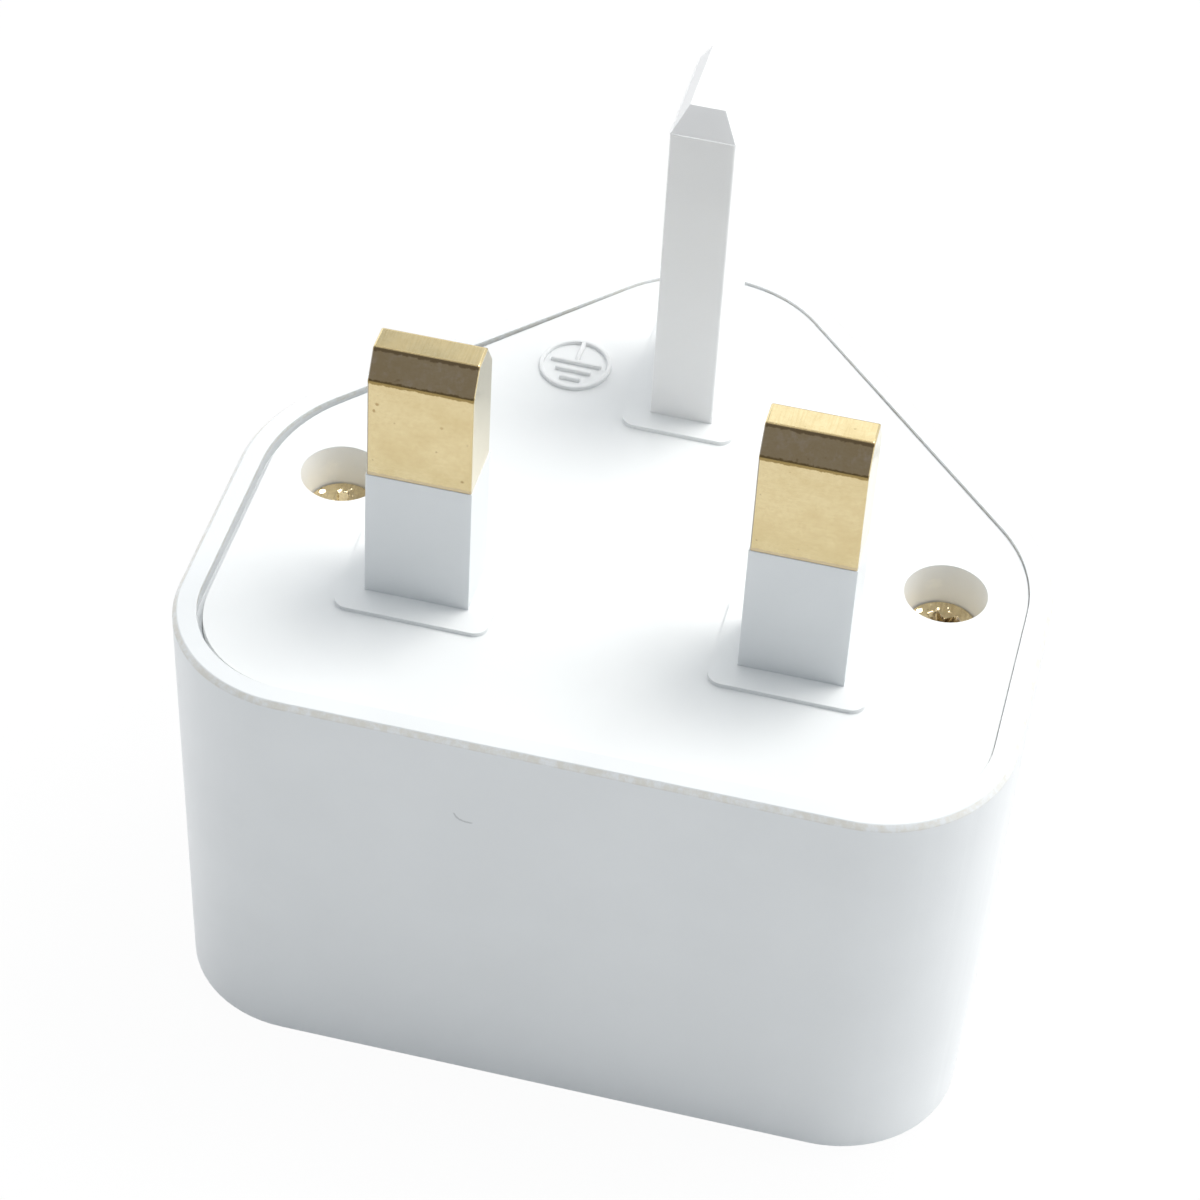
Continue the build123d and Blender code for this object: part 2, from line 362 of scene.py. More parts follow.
class ShapeSheet(Sheet):
    """A geometry node tree that makes a mesh from a few sizes."""

    def __init__(self, name: str, sizes: Iterable[str]) -> None:
        """Start with a geometry output and a number input for each size.

        Args:
            name: The tree's name.
            sizes: Names of the inputs.
        """
        tree = bpy.data.node_groups.new(name, "GeometryNodeTree")
        tree.interface.new_socket("Geometry", in_out="OUTPUT", socket_type="NodeSocketGeometry")
        for size in sizes:
            tree.interface.new_socket(size, in_out="INPUT", socket_type="NodeSocketFloat")
        super().__init__(tree)
        self.given = self.add("NodeGroupInput").outputs

    def sweep(self, path: Node, section: Node, caps: bool) -> Socket:
        """Sweep a section along a path."""
        inputs = {"Curve": path.outputs[0], "Profile Curve": section.outputs[0], "Fill Caps": caps}
        return self.add("GeometryNodeCurveToMesh", inputs).outputs[0]

    def move(self, shape: Socket, place: Socket) -> Socket:
        """Move a shape to a place."""
        inputs = {"Geometry": shape, "Translation": place}
        return self.add("GeometryNodeTransform", inputs).outputs[0]

    def close(self, shape: Socket, material: bpy.types.Material) -> None:
        """Make the shape real, give it its material and put it out.

        Args:
            shape: The finished shape.
            material: Its material.
        """
        real = self.add("GeometryNodeRealizeInstances", {0: shape}).outputs[0]
        inputs = {"Geometry": real, "Material": material}
        dressed = self.add("GeometryNodeSetMaterial", inputs).outputs[0]
        self.add("NodeGroupOutput", {0: dressed})

    def piece(self, name: str, sizes: dict[str, float]) -> Piece:
        """Make a piece with the tree, and bake it.

        Args:
            name: The piece's name.
            sizes: A value for each input's name.

        Returns:
            The piece, with no modifier left.
        """
        made = link_piece(name, bpy.data.meshes.new(name))
        modifier = made.modifiers.new("shape", "NODES")
        modifier.node_group = self.tree
        for item in self.tree.interface.items_tree:
            if item.in_out == "INPUT":
                modifier[item.identifier] = sizes[item.name]
        return bake(made)


# Finishes


@dataclass(frozen=True)
class Finish(ABC):
    """A surface finish that makes one procedural material."""

    name: str

    def material(self) -> bpy.types.Material:
        """Build the material, or return it if it is there already.

        Returns:
            The finish's material.
        """
        made = bpy.data.materials.get(self.name)
        if made is None:
            made = bpy.data.materials.new(self.name)
            made.use_nodes = True
            self.paint(made.node_tree)
        return made

    @abstractmethod
    def paint(self, tree: bpy.types.NodeTree) -> None:
        """Fill the material's node tree.

        Args:
            tree: The tree.
        """


class Mark(ABC):
    """Something that colours a part of the plastic."""

    @abstractmethod
    def paint(self, sheet: Surface) -> None:
        """Colour the part."""


@dataclass(frozen=True)
class PaintedWellLight(Mark):
    """Cream tint in the screw wells, stronger towards their bottom, with pale patches.

    The cream tint is painted light reflected from the brass screws, and the patches are
    painted reflections of the screws on the walls.
    """

    centres: tuple[Pair, ...]
    top: float
    colour: Triple = (0.965, 0.945, 0.895)
    radius: float = 2.7
    depth: float = 4.2
    at_top: float = 0.5
    start: float = 0.05
    lip: float = 0.1
    painted_reflections: tuple[Spot, ...] = ((-19.78, -1.01, 26.77, 0.75), (17.47, -0.82, 26.96, 0.6))
    painted_reflection_colour: Triple = (1.0, 0.985, 0.93)
    patch_edge: Cloud = Cloud(2600.0, 3.0)
    patch_wander: float = 0.9
    patch_look: Pair = (0.1, 1.0)

    def paint(self, sheet: Surface) -> None:
        """Colour the wells.

        Args:
            sheet: The plastic's sheet.
        """
        right, back, height = sheet.axes
        near: Any = 0.0
        for x, y in self.centres:
            away = sheet.length(sheet.minus(right, x * MM), sheet.minus(back, y * MM))
            near = sheet.most(near, sheet.math("LESS_THAN", away, self.radius * MM))
        sunk = sheet.ramp(height, (self.top - self.start) * MM, (self.top - self.depth) * MM)
        below = sheet.math("LESS_THAN", height, (self.top - self.lip) * MM)
        # Painted light: cream light reflected from the brass screws, stronger towards the bottom
        sheet.tint(self.colour, near, sheet.spread(sunk, self.at_top, 1.0), below)
        # Painted reflections of the screws, as pale patches on the walls
        ragged = sheet.wander(self.patch_edge, self.patch_wander)
        sheet.tint(self.painted_reflection_colour, sheet.spots(0.0, self.painted_reflections, ragged, self.patch_look))


@dataclass(frozen=True)
class RimTint(Mark):
    """Handled, slightly rubbed look of the rim's outer edge."""

    top: float
    colour: Triple = (0.72, 0.695, 0.63)
    height: float = 0.3
    under_top: float = 0.02
    fade_below: float = 0.12
    fade_above: float = 0.05
    rubbed: Cloud = Cloud(1500.0, 4.0, 0.7, 0.3, 0.65, 0.75)

    def paint(self, sheet: Surface) -> None:
        """Colour the rim.

        Args:
            sheet: The plastic's sheet.
        """
        low, high = self.top - self.height, self.top - self.under_top
        rise = ((low - self.fade_below) * MM, low * MM)
        fall = ((high - self.fade_above) * MM, high * MM)
        edge = sheet.band(sheet.axes[2], rise, fall)
        sheet.tint(self.colour, edge, sheet.pattern(self.rubbed), self.rubbed.amount)


@dataclass(frozen=True)
class Nick(Mark):
    """A small curved scratch on the front wall: the lower left of a circle."""

    centre: Pair
    front_y: float
    colour: Triple = (0.5, 0.52, 0.53)
    amount: float = 0.7
    radius: float = 0.93
    width: float = 0.09
    core: float = 0.3
    left_end: Pair = (0.35, 0.2)
    low_end: Pair = (-0.3, -0.45)
    reach: float = 1.0
    edge: Cloud = Cloud(3000.0)
    edge_wander: float = 0.25

    def paint(self, sheet: Surface) -> None:
        """Colour the scratch.

        Args:
            sheet: The plastic's sheet.
        """
        shaky = sheet.wander(self.edge, self.edge_wander)
        across = sheet.minus(sheet.axes[0], self.centre[0] * MM)
        up = sheet.minus(sheet.axes[2], self.centre[1] * MM)
        away = sheet.minus(sheet.plus(sheet.length(across, up), shaky), self.radius * MM)
        width = self.width * MM
        line = sheet.ramp(sheet.math("ABSOLUTE", away), width, width * self.core)
        left = sheet.ramp(across, *mm(*self.left_end))
        low = sheet.ramp(up, *mm(*self.low_end))
        front = sheet.math("LESS_THAN", sheet.axes[1], (self.front_y + self.reach) * MM)
        sheet.tint(self.colour, sheet.times(line, left), sheet.times(low, front), self.amount)


@dataclass(frozen=True)
class MouldedPlastic(Finish):
    """White moulded plastic with a fine eroded mould texture and slight mottling."""

    colour: Triple = (0.86, 0.87, 0.875)
    roughness: float = 0.36
    rough_spread: Pair = (-0.05, 0.06)
    grain_strength: float = 0.07
    grain_depth: float = 0.05
    marks: tuple[Mark, ...] = ()
    mottle: float = 0.012
    mottling: Cloud = Cloud(130.0, 3.0, 0.5, 0.3, 0.7)
    sweep: Cloud = Cloud(300.0)
    grain: Cloud = Cloud(5200.0, 3.0, 0.6)
    refraction: float = 1.5
    milkiness: float = 0.15
    milk_depth: float = 0.5

    def paint(self, tree: bpy.types.NodeTree) -> None:
        """Fill the tree with the plastic.

        Args:
            tree: The material's tree.
        """
        low, high = (
            tuple(part * (1 + change) for part in self.colour)
            for change in (-self.mottle, self.mottle)
        )
        sheet = Surface(tree, low)
        sheet.tint(high, sheet.pattern(self.mottling))
        for mark in self.marks:
            mark.paint(sheet)
        smooth, dull = (self.roughness + shift for shift in self.rough_spread)
        rough = sheet.spread(sheet.noise(self.sweep), smooth, dull)
        values = {
            "IOR": self.refraction,
            "Subsurface Weight": self.milkiness,
            "Subsurface Radius": (1.0, 1.0, 1.0),
            "Subsurface Scale": self.milk_depth * MM,
        }
        bump = (self.grain_strength, self.grain_depth)
        sheet.coat(rough, sheet.noise(self.grain), bump, values)


@dataclass(frozen=True)
class Stain:
    """A band of tarnish between two heights, all round or on the faces that look along Y."""

    low: float
    high: float
    colour: Triple
    amount: float
    all_round: bool = False
    fade: float = 0.04


@dataclass(frozen=True)
class Brass(Finish):
    """Drawn brass: smudges, speckle, small spots, scuffs, tarnished bands and milled ends,
    with painted reflections: paler on the faces that look sideways, dark on the corners that look
    left.
    """

    colour: Triple = (0.755, 0.636, 0.375)
    smudge: Triple = (0.66, 0.52, 0.27)
    roughness: float = 0.19
    rough_spread: float = 0.06
    bump: float = 0.07
    bump_depth: float = 0.004
    smudges: Cloud = Cloud(420.0, 4.0, 0.6, 0.38, 0.7, 0.5)
    speckle: Cloud = Cloud(4200.0, 3.0, 0.7, 0.4, 0.66, 0.34)
    drawn: Cloud = Cloud(12000.0, 2.0, 0.5, 0.42, 0.62, 0.16, (0.12, 0.12, 1.0))
    milled: Cloud = Cloud(7500.0, 2.0, 0.6, 0.46, 0.62, 0.45, (1.0, 0.05, 1.0))
    milled_bump: float = 0.3
    pits: Cloud = Cloud(3300.0, 0.0, 0.5, 0.8, 0.87, 0.45)
    pit: Triple = (0.4, 0.28, 0.12)
    spots: tuple[Spot, ...] = ()
    spot_edge: Cloud = Cloud(5000.0)
    spot_wander: float = 0.2
    spot_look: Pair = (0.4, 0.75)
    scuffs: Cloud = Cloud(1700.0, 4.0, 0.7, 0.48, 0.8, 0.4)
    scuff: Triple = (0.95, 0.87, 0.7)
    # Painted dark reflection on the corners that look left
    left_dark_reflection: Triple = (0.3, 0.27, 0.26)
    left_dark_reflection_amount: float = 0.8
    stains: tuple[Stain, ...] = ()
    stain_edge: Cloud = Cloud(3000.0, 4.0, 0.7)
    stain_wander: float = 0.3
    # Painted reflection: a paler colour on the faces that look sideways
    side: Triple = (1.0, 0.97, 0.84)
    side_reflection_lift: float = 0.45
    side_shine: float = 0.08
    steep: Pair = (0.8, 0.95)
    sloping: tuple[Pair, Pair] = ((0.3, 0.42), (0.72, 0.85))
    leftward: Pair = (-0.12, -0.35)
    corner: Pair = (0.15, 0.4)
    along_y: Pair = (0.1, 0.4)

    def paint(self, tree: bpy.types.NodeTree) -> None:
        """Fill the tree with the brass.

        Args:
            tree: The material's tree.
        """
        sheet = Surface(tree, self.colour)
        cloud, drawn = sheet.pattern(self.smudges), sheet.noise(self.drawn)
        sheet.tint(self.smudge, cloud, self.smudges.amount)
        sheet.tint(self.smudge, sheet.pattern(self.speckle), self.speckle.amount)
        lines = sheet.ramp(drawn, self.drawn.start, self.drawn.full)
        sheet.tint(self.smudge, lines, self.drawn.amount)
        fine = sheet.times(sheet.pattern(self.pits), self.pits.amount)
        ragged = sheet.wander(self.spot_edge, self.spot_wander)
        sheet.tint(self.pit, sheet.spots(fine, self.spots, ragged, self.spot_look))
        self._fleck(sheet)
        self._stain(sheet)
        # Milling lines run along Y on the faces that look up
        up, mill = sheet.ramp(sheet.facing[2], *self.steep), sheet.noise(self.milled)
        lines = sheet.ramp(mill, self.milled.start, self.milled.full)
        sheet.tint(self.smudge, up, lines, self.milled.amount)
        # Painted reflection: the faces that look sideways are mixed towards a paler colour
        side = sheet.turned(0, self.steep)
        sheet.tint(self.side, side, self.side_reflection_lift)
        height = sheet.plus(sheet.times(drawn, self.bump), sheet.times(up, mill, self.milled_bump))
        height = sheet.times(height, sheet.minus(1.0, side))
        rough = sheet.spread(cloud, self.roughness, self.roughness + self.rough_spread)
        rough = sheet.math("SUBTRACT", rough, sheet.times(side, self.side_shine), clamp=True)
        sheet.coat(rough, height, (1.0, self.bump_depth), {"Metallic": 1.0})

    def _fleck(self, sheet: Surface) -> None:
        """Add pale scuffs on the sloping faces, and a painted dark reflection on the corners that
        look left.

        Args:
            sheet: The brass's sheet.
        """
        slope = sheet.band(sheet.facing[2], *self.sloping)
        sheet.tint(self.scuff, slope, sheet.pattern(self.scuffs), self.scuffs.amount)
        # Painted dark reflection: the corners that look left are darkened by the way they face
        left = sheet.ramp(sheet.facing[0], *self.leftward)
        sheet.tint(self.left_dark_reflection, left, sheet.turned(1, self.corner), self.left_dark_reflection_amount)

    def _stain(self, sheet: Surface) -> None:
        """Add the tarnished bands, with ragged edges.

        Args:
            sheet: The brass's sheet.
        """
        height = sheet.plus(sheet.axes[2], sheet.wander(self.stain_edge, self.stain_wander))
        along_y = sheet.turned(1, self.along_y)
        for stain in self.stains:
            rise, fall = (
                ((level - stain.fade) * MM, (level + stain.fade) * MM)
                for level in (stain.low, stain.high)
            )
            shares = [sheet.band(height, rise, fall), stain.amount]
            if not stain.all_round:
                shares.insert(1, along_y)
            sheet.tint(stain.colour, *shares)


@dataclass(frozen=True)
class PaleFloor(Finish):
    """White table top that shows only a faint shadow to the camera."""

    colour: Triple = (0.94, 0.94, 0.94)
    lift: float = 0.95
    glow: float = 0.12

    def paint(self, tree: bpy.types.NodeTree) -> None:
        """Fill the tree with matt white, lifted towards white where it is seen.

        Args:
            tree: The material's tree.
        """
        sheet = Sheet(tree)
        plain = sheet.add("ShaderNodeBsdfDiffuse", {"Color": (*self.colour, 1)})
        white = sheet.add("ShaderNodeEmission", {"Color": (1, 1, 1, 1), "Strength": 1.0})
        path = sheet.add("ShaderNodeLightPath").outputs
        seen = path["Is Camera Ray"]
        for ray in ("Is Glossy Ray", "Is Transmission Ray"):
            seen = sheet.most(seen, path[ray])
        seen = sheet.most(sheet.times(seen, self.lift), self.glow)
        inputs = {0: seen, 1: plain.outputs[0], 2: white.outputs[0]}
        mixed = sheet.add("ShaderNodeMixShader", inputs)
        sheet.add("ShaderNodeOutputMaterial", {"Surface": mixed.outputs[0]})


# Mesh helpers


def link_piece(name: str, mesh: bpy.types.Mesh) -> Piece:
    """Put a mesh in the scene as an object at the origin.

    Args:
        name: The object's and the mesh's name.
        mesh: The mesh.

    Returns:
        The new object.
    """
    mesh.name = name
    piece = bpy.data.objects.new(name, mesh)
    bpy.context.scene.collection.objects.link(piece)
    return piece


def grid_piece(name: str, grid: bmesh.types.BMesh, closed: bool = True) -> Piece:
    """Turn an edited mesh into a piece, and free it.

    Args:
        name: The piece's name.
        grid: The edited mesh.
        closed: Whether it has an inside, so that its faces are turned outwards.

    Returns:
        The piece.
    """
    if closed:
        bmesh.ops.recalc_face_normals(grid, faces=grid.faces)
    mesh = bpy.data.meshes.new(name)
    grid.to_mesh(mesh)
    grid.free()
    return link_piece(name, mesh)


def bridge(grid: bmesh.types.BMesh, ring: Sequence[Any], over: Sequence[Any]) -> None:
    """Close the strip between two rings of as many points.

    Args:
        grid: The edited mesh.
        ring: Points of one ring, in order.
        over: Points of the other ring.
    """
    for i, vert in enumerate(ring):
        j = (i + 1) % len(ring)
        grid.faces.new((vert, ring[j], over[j], over[i]))


def merged_copy(node: str, name: str) -> Piece:
    """Copy a node's mesh, merge its loose triangles and clear the lines inside flat faces.

    Args:
        node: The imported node's name.
        name: The copy's name.

    Returns:
        The copy.
    """
    grid = bmesh.new()
    grid.from_mesh(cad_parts[node].data)
    bmesh.ops.remove_doubles(grid, verts=grid.verts, dist=1e-6)
    bmesh.ops.dissolve_limit(grid, angle_limit=0.01, verts=grid.verts, edges=grid.edges)
    return grid_piece(name, grid)


def bake(piece: Piece) -> Piece:
    """Apply a piece's modifiers to its mesh.

    Args:
        piece: The piece with live modifiers.

    Returns:
        The same piece, with none left.
    """
    graph = bpy.context.evaluated_depsgraph_get()
    done = bpy.data.meshes.new_from_object(piece.evaluated_get(graph))
    piece.modifiers.clear()
    piece.data = done
    done.name = piece.name
    return piece


def ease_edges(piece: Piece, width: float, segments: int = 2, angle: float = 28.0) -> Piece:
    """Round the edges that turn more than an angle, and shade the rest smooth.

    Args:
        piece: The piece.
        width: Width of the rounding.
        segments: Faces across it.
        angle: Smallest turn that is rounded, in degrees.

    Returns:
        The same piece, with the rounding applied.
    """
    piece.data.shade_smooth()
    bevel = piece.modifiers.new("eased", "BEVEL")
    bevel.width = width * MM
    bevel.segments = segments
    bevel.limit_method = "ANGLE"
    bevel.angle_limit = math.radians(angle)
    bevel.miter_outer = "MITER_ARC"
    bevel.use_clamp_overlap = True
    weighted = piece.modifiers.new("weighted", "WEIGHTED_NORMAL")
    weighted.mode = "FACE_AREA_WITH_ANGLE"
    weighted.keep_sharp = True
    return bake(piece)


def hand_over(piece: Piece, finish: Finish, slot: Slot, *replaced: str) -> Piece:
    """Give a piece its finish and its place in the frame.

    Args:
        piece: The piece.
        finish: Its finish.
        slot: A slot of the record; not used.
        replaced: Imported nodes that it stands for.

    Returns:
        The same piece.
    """
    piece.data.materials.clear()
    piece.data.materials.append(finish.material())
    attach(piece, ROOT)
    if replaced:
        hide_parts(*replaced)
    stands_for = ", ".join(replaced) or "no node"
    LOG.info("%s: %d faces, stands for %s", piece.name, len(piece.data.polygons), stands_for)
    return piece


# Sub-assemblies


class Outline:
    """A convex outline in plan."""

    def __init__(self, piece: Piece) -> None:
        """Draw the outline round a piece, counterclockwise.

        Args:
            piece: The piece.
        """
        plan = sorted({(round(v.co.x / MM, 3), round(v.co.y / MM, 3)) for v in piece.data.vertices})
        points = [Vector(point) for point in plan]
        ring = [points[i] for i in geometry.convex_hull_2d(points)]
        self.sides = list(zip(ring, ring[1:] + ring[:1]))
        if sum(start.x * end.y - end.x * start.y for start, end in self.sides) < 0:
            ring.reverse()
            self.sides = list(zip(ring, ring[1:] + ring[:1]))

    def nearest(self, point: Vector) -> tuple[float, Vector]:
        """How far a point lies outside the nearest side.

        Args:
            point: The point.

        Returns:
            The distance, below 0 inside, and the side's outward direction.
        """
        best, out, normal = math.inf, 0.0, Vector((0.0, 0.0))
        for start, end in self.sides:
            side = end - start
            share = min(1.0, max(0.0, (point - start).dot(side) / side.length_squared))
            away = point - start.lerp(end, share)
            if away.length < best:
                best, normal = away.length, Vector((side.y, -side.x)).normalized()
                out = away.dot(normal)
        return out, normal


@dataclass
class MouldedBody:
    """The shell and the plate that closes it."""

    places: Places
    edge: float = 0.09
    plate_edge: float = 0.08
    pin_gap: float = 0.05
    groove: float = 0.15
    groove_depth: float = 0.4
    plate_bevel: float = 0.1
    bevel_left: float = 0.03
    wall_shift: float = 0.01
    corner_shift: float = 0.04
    wall_reach: float = 0.005
    well_radius: float = 2.4
    well_sizes: Pair = (2.14, 2.48)
    pad_scale: float = 0.72
    nick_x: float = -5.05
    nick_drop: float = 5.45
    gap_right: float = 0.02
    gap_left: float = 0.13
    gap_middle: float = 0.28
    groove_deeper: float = 0.4
    left_from: Pair = (4.0, 17.0)
    front_to: Pair = (-21.5, -15.0)
    back_to: Pair = (-1.0, 12.0)
    side_band: float = 0.16
    face_band: float = 0.05
    wall_band: float = 0.08
    ledge_band: float = 0.2
    wall_height: float = 2.5
    well_band: float = 0.12

    def build(self) -> None:
        """Make both mouldings."""
        places = self.places
        nick = Nick((self.nick_x, places.rim_z - self.nick_drop), places.front_y)
        shell_white = MouldedPlastic(
            "shell white",
            colour=(0.833, 0.853, 0.866),
            grain_strength=0.09,
            marks=(RimTint(places.rim_z), nick),
        )
        plate_white = MouldedPlastic(
            "plate white",
            colour=(0.87, 0.885, 0.89),
            roughness=0.33,
            marks=(PaintedWellLight(places.wells, places.plate_z),),
        )
        shell = merged_copy("shell", "shell_moulding")
        plate = merged_copy("pin_plate", "plate_moulding")
        self._seat(plate, shell)
        ease_edges(shell, self.edge)
        hand_over(shell, shell_white, Slot.BODY, "shell")
        self._shape_details(plate)
        ease_edges(plate, self.plate_edge)
        self._close_openings(plate)
        hand_over(plate, plate_white, Slot.BODY, "pin_plate")

    def _gap(self, point: Vector) -> Pair:
        """Gap between plate and shell at a place: wide at the left, nearly closed at the right.

        Args:
            point: A point of the plate's outline.

        Returns:
            The gap, and how much deeper the groove is there.
        """
        left = eased(-point.x, *self.left_from)
        middle = eased(point.y, *self.front_to) * (1 - eased(point.y, *self.back_to))
        gap = self.gap_right + self.gap_left * left + self.gap_middle * left * middle
        return gap, self.groove_deeper * left * middle

    def _seat(self, plate: Piece, shell: Piece) -> None:
        """Seat the plate a little to the right in the shell: the groove is uneven in the photo.

        Args:
            plate: The plate, with sharp edges.
            shell: The shell, with sharp edges.
        """
        outline = Outline(plate)
        ledge = self.places.plate_z - self.groove_depth
        for piece in (plate, shell):
            for vert in piece.data.vertices:
                point = Vector(vert.co.xy) / MM
                out, normal = outline.nearest(point)
                above = vert.co.z / MM - ledge
                gap, deeper = self._gap(point)
                low = -self.wall_height < above < self.face_band
                if piece is plate and out > -self.side_band:
                    # The plate's bevelled corner is drawn almost sharp
                    sharper = self.plate_bevel - self.bevel_left if out < -self.face_band else 0.0
                    vert.co.xy += normal * (self.groove - gap + sharper) * MM
                elif piece is shell and low and 0.0 < out < self.ledge_band:
                    if out < self.wall_band:
                        vert.co.xy += normal * min(self.groove - gap, 0.0) * MM
                    if above > -self.face_band:
                        vert.co.z -= deeper * MM

    def _shape_details(self, plate: Piece) -> None:
        """Lower the pads, and give the wells the sizes and draft that the photo shows.

        Args:
            plate: The plate, with sharp edges.
        """
        for vert in plate.data.vertices:
            above = vert.co.z / MM - self.places.plate_z
            if above > SAME_HEIGHT:
                vert.co.z = (self.places.plate_z + above * self.pad_scale) * MM
            for centre in self.places.wells:
                away = Vector(vert.co.xy) / MM - Vector(centre)
                if abs(away.length - self.well_radius) < self.well_band:
                    size = self.well_sizes[above > -1.0]
                    vert.co.xy = (Vector(centre) + away * (size / self.well_radius)) * MM

    def _close_openings(self, plate: Piece) -> None:
        """Draw the walls of the pin openings in against the pins, as on the tight real part.

        Args:
            plate: The plate, with its edges eased.
        """
        for node in ("line_sleeve", "neutral_sleeve", "earth_pin"):
            low, high = corners(node)
            middle = (low + high) / 2
            section = (high.x - low.x, high.y - low.y)
            if node == "earth_pin":
                section = EARTH_SECTION
            walls = [size / 2 + self.pin_gap for size in section]
            for vert in plate.data.vertices:
                away = [vert.co[i] / MM - middle[i] for i in (0, 1)]
                if any(abs(away[i]) > walls[i] + 2 * self.plate_edge for i in (0, 1)):
                    continue
                for i in (0, 1):
                    on_wall = abs(away[i]) < walls[i] + self.wall_reach
                    shift = self.pin_gap + (self.wall_shift if on_wall else self.corner_shift)
                    vert.co[i] -= math.copysign(shift * MM, away[i])


def ring_outline(half_x: float, half_y: float, radius: float, steps: int = 4) -> list[Vector]:
    """Points of a rectangle with round corners, counterclockwise.

    Args:
        half_x: Half the size along X.
        half_y: Half the size along Y.
        radius: Corner radius.
        steps: Pieces in each corner's arc.

    Returns:
        The points.
    """
    points = []
    for corner, (sign_x, sign_y) in enumerate(((1, 1), (-1, 1), (-1, -1), (1, -1))):
        middle = Vector((sign_x * (half_x - radius), sign_y * (half_y - radius)))
        for step in range(steps + 1):
            angle = math.radians(90 * (corner + step / steps))
            points.append(middle + Vector((math.cos(angle), math.sin(angle))) * radius)
    return points


@dataclass
class PlugPins:
    """The two brass pins with their sleeves, and the plastic earth pin."""

    places: Places
    brass_edge: float = 0.11
    sleeve_edge: float = 0.03
    earth_edge: float = 0.08
    sink: float = 0.12
    taper: float = 1.7
    bead_proud: float = 0.05
    bead_height: float = 0.12
    bead_corner: float = 0.2
    bead_sides: int = 8
    spots: tuple[Spot, ...] = (
        (-13.607, -12.725, 42.8, 0.16),
        (-13.76, -12.725, 42.28, 0.14),
        (-8.576, -12.725, 38.31, 0.12),
    )

    def build(self) -> None:
        """Make the pins and sleeves."""
        joint, base, top = self.places.sleeve_z, self.places.bevel_z, self.places.pin_z
        stains = (
            Stain(joint - 0.1, joint + 0.22, (0.58, 0.47, 0.32), 0.75, all_round=True),
            Stain(base - 0.15, base + 0.12, (0.3, 0.21, 0.07), 0.9),
            Stain(top - 0.2, top + 0.1, (0.34, 0.25, 0.12), 0.85),
        )
        brass = Brass("pin brass", stains=stains, spots=self.spots)
        # One white plastic in two colours: the earth pin's lighter white is painted light, from the
        # bright plate below it
        white, earth_white = (
            MouldedPlastic(name, colour=colour, roughness=0.4, grain_strength=0.03)
            for name, colour in (
                ("sleeve white", (0.865, 0.89, 0.905)),
                ("earth white", (0.94, 0.94, 0.945)),
            )
        )
        for pole in Pole:
            node = f"{pole.value}_pin"
            pin = merged_copy(node, f"{node}_eased")
            self._sink(pin)
            hand_over(ease_edges(pin, self.brass_edge, 3), brass, Slot.PIN_BRASS, node)
            node = f"{pole.value}_sleeve"
            sleeve = ease_edges(merged_copy(node, f"{node}_eased"), self.sleeve_edge)
            hand_over(sleeve, white, Slot.PIN_PLASTIC, node)
        earth = ease_edges(merged_copy("earth_pin", "earth_pin_eased"), self.earth_edge)
        hand_over(earth, earth_white, Slot.PIN_PLASTIC, "earth_pin")
        hand_over(self._bead(), earth_white, Slot.PIN_PLASTIC)

    def _sink(self, pin: Piece) -> None:
        """Lower a pin's shoulder into its sleeve, so no rounding shows at the joint.

        Args:
            pin: The brass pin, with sharp edges.
        """
        for vert in pin.data.vertices:
            if abs(vert.co.z / MM - self.places.sleeve_z) < SAME_HEIGHT:
                vert.co.z -= self.sink * MM

    def _bead(self) -> Piece:
        """Make the thin bead of flash round the root of the earth pin's taper.

        Returns:
            The bead.
        """
        low, high = corners("earth_pin")
        middle = (low + high) / 2
        root = self.places.earth_z - self.taper
        grid = bmesh.new()
        loops = []
        for turn in range(self.bead_sides):
            angle = math.radians(360 / self.bead_sides * turn)
            out = self.bead_proud * math.cos(angle)
            half_x, half_y = (size / 2 + out for size in EARTH_SECTION)
            z = root + self.bead_height / 2 * math.sin(angle)
            points = ring_outline(half_x, half_y, self.bead_corner + out)
            places = [mm(middle.x + point.x, middle.y + point.y, z) for point in points]
            loops.append([grid.verts.new(place) for place in places])
        for loop, over in zip(loops, loops[1:] + loops[:1]):
            bridge(grid, loop, over)
        piece = grid_piece("earth_bead", grid)
        piece.data.shade_smooth()
        return piece


@dataclass
class SocketContacts:
    """The sprung strips behind the pole openings."""

    edge: float = 0.05

    def build(self) -> None:
        """Make both contacts."""
        bronze = Brass(
            "contact bronze", colour=(0.8, 0.6, 0.38), smudge=(0.62, 0.42, 0.24), roughness=0.3
        )
        for pole in Pole:
            node = f"{pole.value}_contact"
            piece = ease_edges(merged_copy(node, f"{node}_strip"), self.edge)
            hand_over(piece, bronze, Slot.CONTACT, node)


